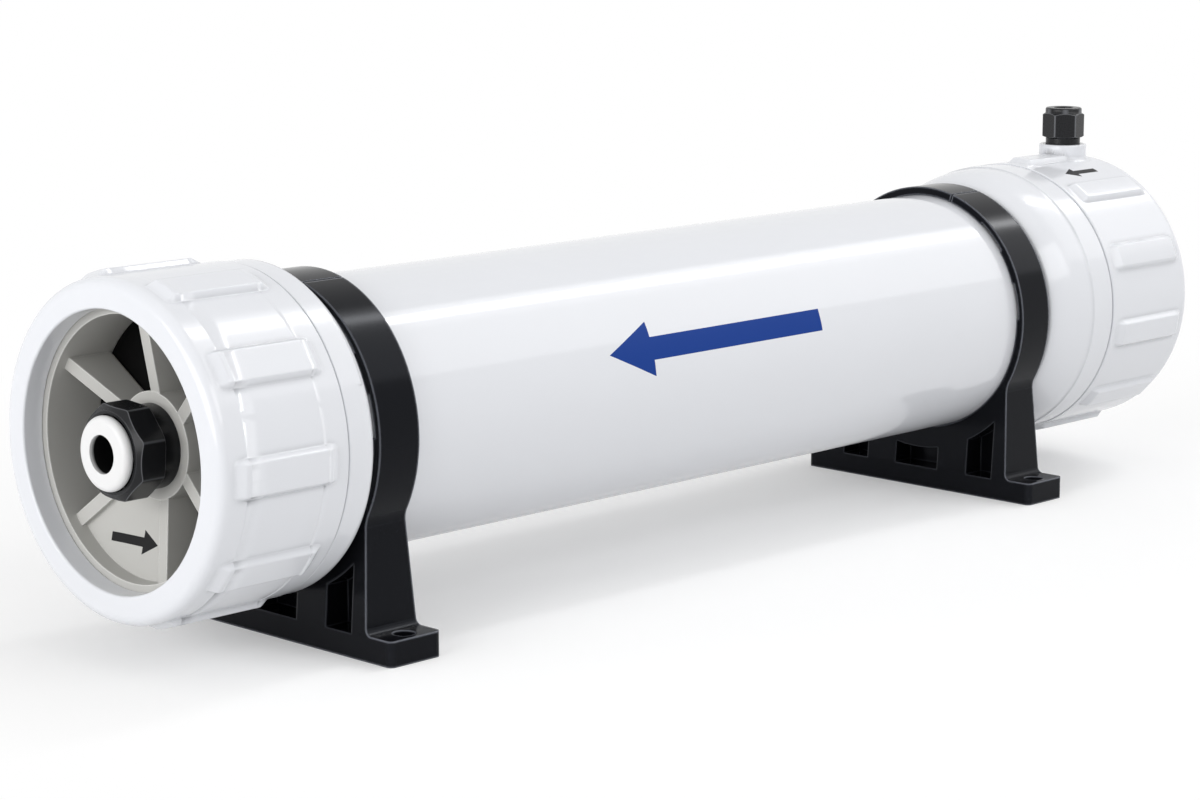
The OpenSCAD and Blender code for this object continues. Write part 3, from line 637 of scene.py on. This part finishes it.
def pad_angles(pads):
    """Angles of the grid round the pads, close together over their sloped sides."""
    half = pads.width / 2 - PAD_LINES
    room = np.pi * pads.radius / pads.count
    between = np.linspace(half.max(), room, 6)[1:]
    one = np.concatenate([-between[:-1], -half, [0], half, between]) / pads.radius
    each = pads.first + np.arange(pads.count) * 2 * np.pi / pads.count
    return np.sort((each[:, None] + one).ravel())


ring_pads = Pads(count=10, first=math.radians(34), width=16, length=50, middle=31.5, radius=SHELL_R / MM)
cap_pads = Pads(count=11, first=math.radians(22), width=14, length=54, middle=31, radius=SHELL_R / MM)
print("grid round the ring nut:", len(pad_angles(ring_pads)), "columns")

# %% Height of the thread
THREAD_H = 1.3
THREAD_STEP = 0.42
THREAD_FADE = 4.0


def thread_wave(x, angle, pitch):
    """Right-hand thread between 0 in its grooves and 1 on its ridges. Along a ridge the phase
    x / pitch + angle / 2 pi is constant. The tanh flattens ridges and grooves."""
    phase = 2 * np.pi * x / pitch + angle
    return 0.5 + 0.5 * np.tanh(1.6 * np.cos(phase)) / math.tanh(1.6)


def fade(x, start, stop, reach):
    """0 outside a span and 1 inside it, with a smooth step of some reach at either end."""
    t = np.clip(np.minimum(x - start, stop - x) / reach, 0, 1)
    return t * t * (3 - 2 * t)


def large_thread(x, angle, start, stop):
    """How far the sockets' thread stands out, in millimetres, between two stations."""
    return THREAD_H * thread_wave(x, angle, SCREW_PITCH / MM) * fade(x, start, stop, THREAD_FADE)


def large_nut_thread(x, angle, start, stop):
    """How far the thread in ring nut and cap stands in: what the sockets' ridges leave free."""
    free = 1 - thread_wave(x, angle, SCREW_PITCH / MM)
    return THREAD_H * free * fade(x, start, stop, THREAD_FADE)


print("thread height in mm:", THREAD_H)

# %% [markdown]
# ## Ring nut
# The ring nut is the white collar that holds the plug in the outlet end. Its outline runs from the
# flat front face over the rounded edge and the long outside to the thread, the snap bead and the
# pocket for the plug's flange.

# %% Ring nut
def start_of(node):
    """Lowest station of a node along the vessel, in millimetres."""
    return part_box(node)[0][0] / MM


def padded_ring():
    """Ring nut: pads added to the outside radius, thread taken from the inside radius."""
    shell, bore, mouth, bead = SHELL_R / MM, THREAD_BORE_R / MM, 55.35, 60.75
    lip, bead_from, bead_to, end = 9.5, 15.8, 17.8, 62.5
    corners = [(0, mouth, 1.0), (0, shell, 4.5), (end, shell, 0.5), (end, bore, 0.6),
               (bead_to, bore, 0.3), (bead_to, bead, 0.5), (bead_from, bead, 0.5), (bead_from, bore, 0.3),
               (lip, bore, 0.3), (lip, mouth, 0.6)]
    thread_rows = np.arange(bead_to + 0.4, end - 0.5, THREAD_STEP)
    rows = outline_rows(corners, {1: pad_stations(ring_pads), 3: thread_rows})
    angle = pad_angles(ring_pads)
    x, r = rows[:, :1], rows[:, 1:]
    outside = r > shell - 1
    threaded = (np.abs(r - bore) < 0.01) & (x > bead_to + 0.2)
    front = start_of("outlet_ring_nut")
    thread = large_nut_thread(front + x, angle, front + bead_to + 0.7, front + end - 0.5)
    radius = r + outside * pad_height(x, angle, ring_pads) - threaded * thread
    return grid_mesh("ring_nut", about_axis(front + x, radius, angle))


add_piece("ring_nut", padded_ring(), white_shell, "ring_nut", "white_shell", "outlet_ring_nut")

# %% [markdown]
# ## Sockets
# A socket is cemented on each end of the tube. Its thread shows when ring nut or cap is screwed
# back. The outlet socket's collar has a locating tab over its upper part, so its edge lies further back
# there. A Screw modifier could wind the thread. On the grid it is only one more term of the radius.

# %% Sockets
ROUND_ANGLES = np.linspace(0, 2 * np.pi, 240, endpoint=False)


def outlet_collar():
    """Outlet socket: nose, threaded spigot, collar and rounded shoulder. Between the tab's two angles
    the shoulder's radius is at least the collar's as far as the tab reaches."""
    bore, spigot, collar = SOCKET_BORE_R / MM, SPIGOT_R / MM, COLLAR_R / MM
    nose, nose_r, collar_at, shoulder_at, end = 5.0, 60.15, 47.6, 55.2, 64.7
    tab_end, tab_from = shoulder_at + 3.6, math.radians(22)
    corners = [(0, bore, 0.4), (0, nose_r, 0.6), (nose, nose_r, 0.2), (nose, spigot, 0.3),
               (collar_at, spigot, 0.6), (collar_at, collar, 0.4), (end, collar, end - shoulder_at),
               (end, bore, 0.2)]
    rows = outline_rows(corners, {3: np.arange(nose + 0.5, collar_at - 1, THREAD_STEP)})
    tab_edges = np.array([tab_from, np.pi - tab_from])
    angle = np.sort(np.concatenate([ROUND_ANGLES, (tab_edges[:, None] + (-0.004, 0, 0.004)).ravel()]))
    x, r = rows[:, :1], rows[:, 1:]
    front = start_of("outlet_socket")
    spiral = (np.abs(r - spigot) < 0.01) & (x > nose)
    radius = r + spiral * large_thread(front + x, angle, front + nose + 0.5, front + collar_at - 1)
    on_tab = (angle >= tab_from) & (angle <= np.pi - tab_from) & (x > collar_at + 1) & (x < tab_end)
    radius = np.where(on_tab, np.maximum(radius, collar), radius)
    return grid_mesh("outlet_collar", about_axis(front + x, radius, angle))


def inlet_collar():
    """Inlet socket: a long shoulder, the arc r = top - R + sqrt(R^2 - (x - run)^2), a low lip, the collar
    and the threaded spigot."""
    bore, spigot, collar = SOCKET_BORE_R / MM, SPIGOT_R / MM, COLLAR_R / MM
    run, collar_end, end, foot_r, lip = 25.8, 41.6, 70.6, 59.3, 0.7
    rise = collar - lip - foot_r
    arc_r = (run ** 2 + rise ** 2) / (2 * rise)
    x_arc = np.linspace(0, run, 22)
    r_arc = collar - lip - arc_r + np.sqrt(arc_r ** 2 - (x_arc - run) ** 2)
    shoulder = [(x, r, 0) for x, r in zip(x_arc, r_arc)]
    corners = [(0, bore, 0.2), *shoulder, (run + lip, collar, 0.6), (collar_end, collar, 0.7),
               (collar_end, spigot, 0.6), (end, spigot, 0.6), (end, bore, 0.4)]
    spigot_edge = len(corners) - 3
    rows = outline_rows(corners, {spigot_edge: np.arange(collar_end + 1, end - 0.5, THREAD_STEP)})
    angle = ROUND_ANGLES
    x, r = rows[:, :1], rows[:, 1:]
    front = start_of("inlet_socket")
    spiral = (np.abs(r - spigot) < 0.01) & (x > collar_end)
    radius = r + spiral * large_thread(front + x, angle, front + collar_end + 1, front + end - 0.5)
    return grid_mesh("inlet_collar", about_axis(front + x, radius, angle))


add_piece("outlet_collar", outlet_collar(), white_shell, "vessel", "white_shell", "outlet_socket")
add_piece("inlet_collar", inlet_collar(), white_shell, "vessel", "white_shell", "inlet_socket")

# %% [markdown]
# ## Screw cap
# The cap closes the inlet end and carries the port on a round boss. The cap's shell and the boss are two
# grids. A Boolean joins them and bores the hole for the fitting's shank, because that seam
# lies across the grid's lines. The boss has a small fillet that follows the round shell.

# %% Screw cap
BOSS_R = 12.0
BOSS_TOP = 74.55
PORT_HOLE_R = 6.85


def cap_shell():
    """Cap from the pole inside its end wall, over cavity, gasket ledge, thread, rim and pads, to the
    pole of its end face. This face is sunk a little, with the low stub of the mould's gate in the middle."""
    shell, bore, cavity, stub = SHELL_R / MM, THREAD_BORE_R / MM, 55.15, 6.0
    ledge, wall, end = 31.4, 56.6, 66.0
    sunk, stub_top, face_edge = end - 1.4, end - 0.7, 53.0
    corners = [(wall, 0, 0), (wall, cavity, 2.0), (ledge, cavity, 0.4), (ledge, bore, 0.3), (0, bore, 0.6),
               (0, shell, 0.8), (end, shell, 6.0), (end, face_edge, 0.8), (sunk, face_edge - 1.4, 0.8),
               (sunk, stub, 0.5), (stub_top, stub - 0.6, 0.3), (stub_top, 0, 0)]
    rows = outline_rows(corners, {3: np.arange(1, ledge - 0.5, THREAD_STEP), 5: pad_stations(cap_pads)})
    angle = pad_angles(cap_pads)
    x, r = rows[:, :1], rows[:, 1:]
    front = start_of("inlet_cap")
    outside = (r > shell - 1) & (x < end - 6)
    threaded = (np.abs(r - bore) < 0.01) & (x < ledge - 0.4)
    thread = large_nut_thread(front + x, angle, front + 0.8, front + ledge - 1)
    radius = r + outside * pad_height(x, angle, cap_pads) - threaded * thread
    return grid_mesh("screw_cap", about_axis(front + x, radius, angle), poles=True)


def port_boss():
    """Boss about the port's axis. Its foot is a fillet of radius f: outwards by f (1 - cos t) while the
    height above the shell, sqrt(R^2 - y^2), goes from f to 0 as f (1 - sin t)."""
    shell, fillet, edge, root = SHELL_R / MM, 2.4, 0.7, 60.0
    t = np.linspace(0, np.pi / 2, 9)[:, None]
    angle = np.linspace(0, 2 * np.pi, 96, endpoint=False)
    foot_r = BOSS_R + fillet * (1 - np.cos(t)) + 0 * angle
    foot_z = np.sqrt(shell ** 2 - (foot_r * np.sin(angle)) ** 2) + fillet * (1 - np.sin(t)) - 0.05
    top_r = BOSS_R - edge * (1 - np.sin(t)) + 0 * angle
    top_z = BOSS_TOP - edge * (1 - np.cos(t)) + 0 * angle
    sunk_r = foot_r[-1:]
    sunk_z = foot_z[-1:] - 1.5
    pole = np.zeros((1, len(angle)))
    radius = np.vstack([pole, top_r, foot_r, sunk_r, pole + BOSS_R, pole])
    height = np.vstack([pole + BOSS_TOP, top_z, foot_z, sunk_z, pole + root, pole + root])
    return grid_mesh("port_boss", about_port(height, radius, angle), poles=True)


def port_drill():
    """Round cutter for the port's hole."""
    angle = np.linspace(0, 2 * np.pi, 64, endpoint=False)
    height = np.array([40.0, 40.0, 90.0, 90.0])[:, None]
    radius = np.array([0, PORT_HOLE_R, PORT_HOLE_R, 0])[:, None] + 0 * angle
    return grid_mesh("port_drill", about_port(height, radius, angle), poles=True)


def combined(mesh, *steps):
    """Result of Boolean steps on a mesh. Each step is an operation and the other mesh."""
    work = [bpy.data.objects.new(mesh.name, mesh)]
    for operation, other in steps:
        work.append(bpy.data.objects.new(other.name, other))
        step = work[0].modifiers.new(operation, "BOOLEAN")
        step.operation, step.solver, step.object = operation, "EXACT", work[-1]
    for helper in work:
        bpy.context.scene.collection.objects.link(helper)
    graph = bpy.context.evaluated_depsgraph_get()
    result = bpy.data.meshes.new_from_object(work[0].evaluated_get(graph))
    for helper in work:
        bpy.data.objects.remove(helper)
    print("combined:", len(result.polygons), "faces")
    return result


cap_mesh = combined(cap_shell(), ("UNION", port_boss()), ("DIFFERENCE", port_drill()))
add_piece("screw_cap", cap_mesh, cap_white, "cap", "white_shell", "inlet_cap")

# %% [markdown]
# ## Compression fitting
# The fitting's thread comes into view when its nut is screwed off. It is much finer than the large
# ones, and it is cut into the fitting, so its ridges keep the solid's radius.

# %% Compression fitting
NECK_TOP = 77.75


def threaded_fitting():
    """Fitting about the port's axis: shank, neck over the O-ring's groove, thread and tube bore. The
    thread takes depth times 1 minus the wave from the radius."""
    depth, foot, groove_top, stop, neck, top = 0.65, 58.55, 75.8, 75.55, NECK_TOP, 87.35
    water_r, shank_r, groove_r, neck_r, thread_r, tube_r = 3.5, 6.7, 8.1, 8.75, 7.6, 4.9
    corners = [(foot, water_r, 0.2), (foot, shank_r, 0.5), (groove_top, shank_r, 0.1),
               (groove_top, groove_r, 0.1), (BOSS_TOP, groove_r, 0.1), (BOSS_TOP, neck_r, 0.2),
               (neck, neck_r, 0.4), (neck, thread_r, 0.2), (top, thread_r, 0.5), (top, tube_r, 0.4),
               (stop, tube_r, 0.2), (stop, water_r, 0.2)]
    rows = outline_rows(corners, {7: np.arange(neck + 0.3, top - 0.5, 0.12)})
    angle = np.linspace(0, 2 * np.pi, 72, endpoint=False)
    z, r = rows[:, :1], rows[:, 1:]
    groove = 1 - thread_wave(z, -angle, NUT_PITCH / MM)
    spiral = (np.abs(r - thread_r) < 0.01) * fade(z, neck + 0.4, top - 0.4, 0.8)
    return grid_mesh("threaded_fitting", about_port(z, r - depth * groove * spiral, angle))


add_piece("threaded_fitting", threaded_fitting(), fitting_black, "cap", "fitting_black", "inlet_fitting_body")

# %% [markdown]
# ## Nuts
# A nut is a turned outline that flats are cut into, and where a flat meets the front cone it leaves an
# arc. A Boolean could cut the flats, but would leave no vertices beside this arc to paint. On a grid the
# distance to it is known, so it can carry a painted highlight in a lighter tone along the edge.

# %% Nuts
def flat_sided(r, angle, flats, apothem, first):
    """Turned radius cut by flats, and how much painted highlight each place gets.

    The flats' radius is apothem / (sum of cos(angle - middle)^p over the flats)^(1 / p), which for a
    large p is the polygon with slightly rounded corners. The highlight is painted where both radii are
    nearly equal, and at the polygon's corners."""
    power, step = 60, 2 * np.pi / flats
    middles = first + step * (np.arange(flats) + 0.5)
    facing = np.maximum(np.cos(angle - middles[:, None]), 0) ** power
    polygon = apothem / facing.sum(0) ** (1 / power)
    crease = np.exp(-((r - polygon) / 0.20) ** 2)
    nearness = (polygon / apothem - 1) / (1 / math.cos(step / 2) - 1)
    corner = np.clip((nearness - 0.78) / 0.12, 0, 1) * (r > polygon)
    return np.minimum(r, polygon), np.maximum(crease, corner)


NUT_ANGLES = np.linspace(0, 2 * np.pi, 360, endpoint=False)


def eight_sided_nut():
    """Lock nut of the push-in fitting: a front cone, eight flats, and the seat for the collet inside."""
    seat, web, end = 3.3, 5.9, 12.7
    cone, chamfer = 2.9, 12.0
    seat_r, neck_r, rear_r, turned_r = 15.1, 10.3, 14.1, 20.5
    corners = [(0, seat_r, 0.2), (0, 16.4, 0.2), (cone, turned_r, 0), (chamfer, turned_r, 0), (end, 18.6, 0),
               (end, rear_r, 0.2), (web, rear_r, 0.1), (web, neck_r, 0.2), (seat, neck_r, 0.2),
               (seat, seat_r, 0.1)]
    rows = outline_rows(corners, {1: np.linspace(0, cone, 60), 2: np.linspace(cone, chamfer, 8),
                                  3: np.linspace(chamfer, end, 24)})
    # worn is the painted edge highlight of each point
    radius, glint = flat_sided(rows[:, 1:], NUT_ANGLES, 8, 18.1, math.radians(18))
    points = about_axis(start_of("outlet_lock_nut") + rows[:, :1], radius, NUT_ANGLES)
    return grid_mesh("lock_nut", points, glint=glint)


def six_sided_nut():
    """Compression nut of the port: hexagon, top cone and a round collar about the tube."""
    foot, chamfer, cone, collar, seat, top = NECK_TOP + np.array([0.3, 1.0, 11.4, 12.6, 12.0, 15.4])
    bore_r, turned_r, collar_r, tube_r = 7.9, 11.2, 9.2, 4.9
    corners = [(foot, bore_r, 0.2), (foot, 9.6, 0), (chamfer, turned_r, 0), (cone, turned_r, 0),
               (collar, collar_r, 0), (top, collar_r, 0.9), (top, tube_r, 0.4), (seat, tube_r, 0.2),
               (seat, bore_r, 0.1)]
    rows = outline_rows(corners, {1: np.linspace(foot, chamfer, 24), 2: np.linspace(chamfer, cone, 8),
                                  3: np.linspace(cone, collar, 50)})
    # worn is the painted edge highlight of each point
    radius, glint = flat_sided(rows[:, 1:], NUT_ANGLES, 6, 9.3, math.radians(11.8))
    return grid_mesh("compression_nut", about_port(rows[:, :1], radius, NUT_ANGLES), glint=glint)


add_piece("lock_nut", eight_sided_nut(), fitting_black, "lock_nut", "fitting_black", "outlet_lock_nut")
add_piece("compression_nut", six_sided_nut(), fitting_black, "compression_nut", "fitting_black",
          "inlet_compression_nut")
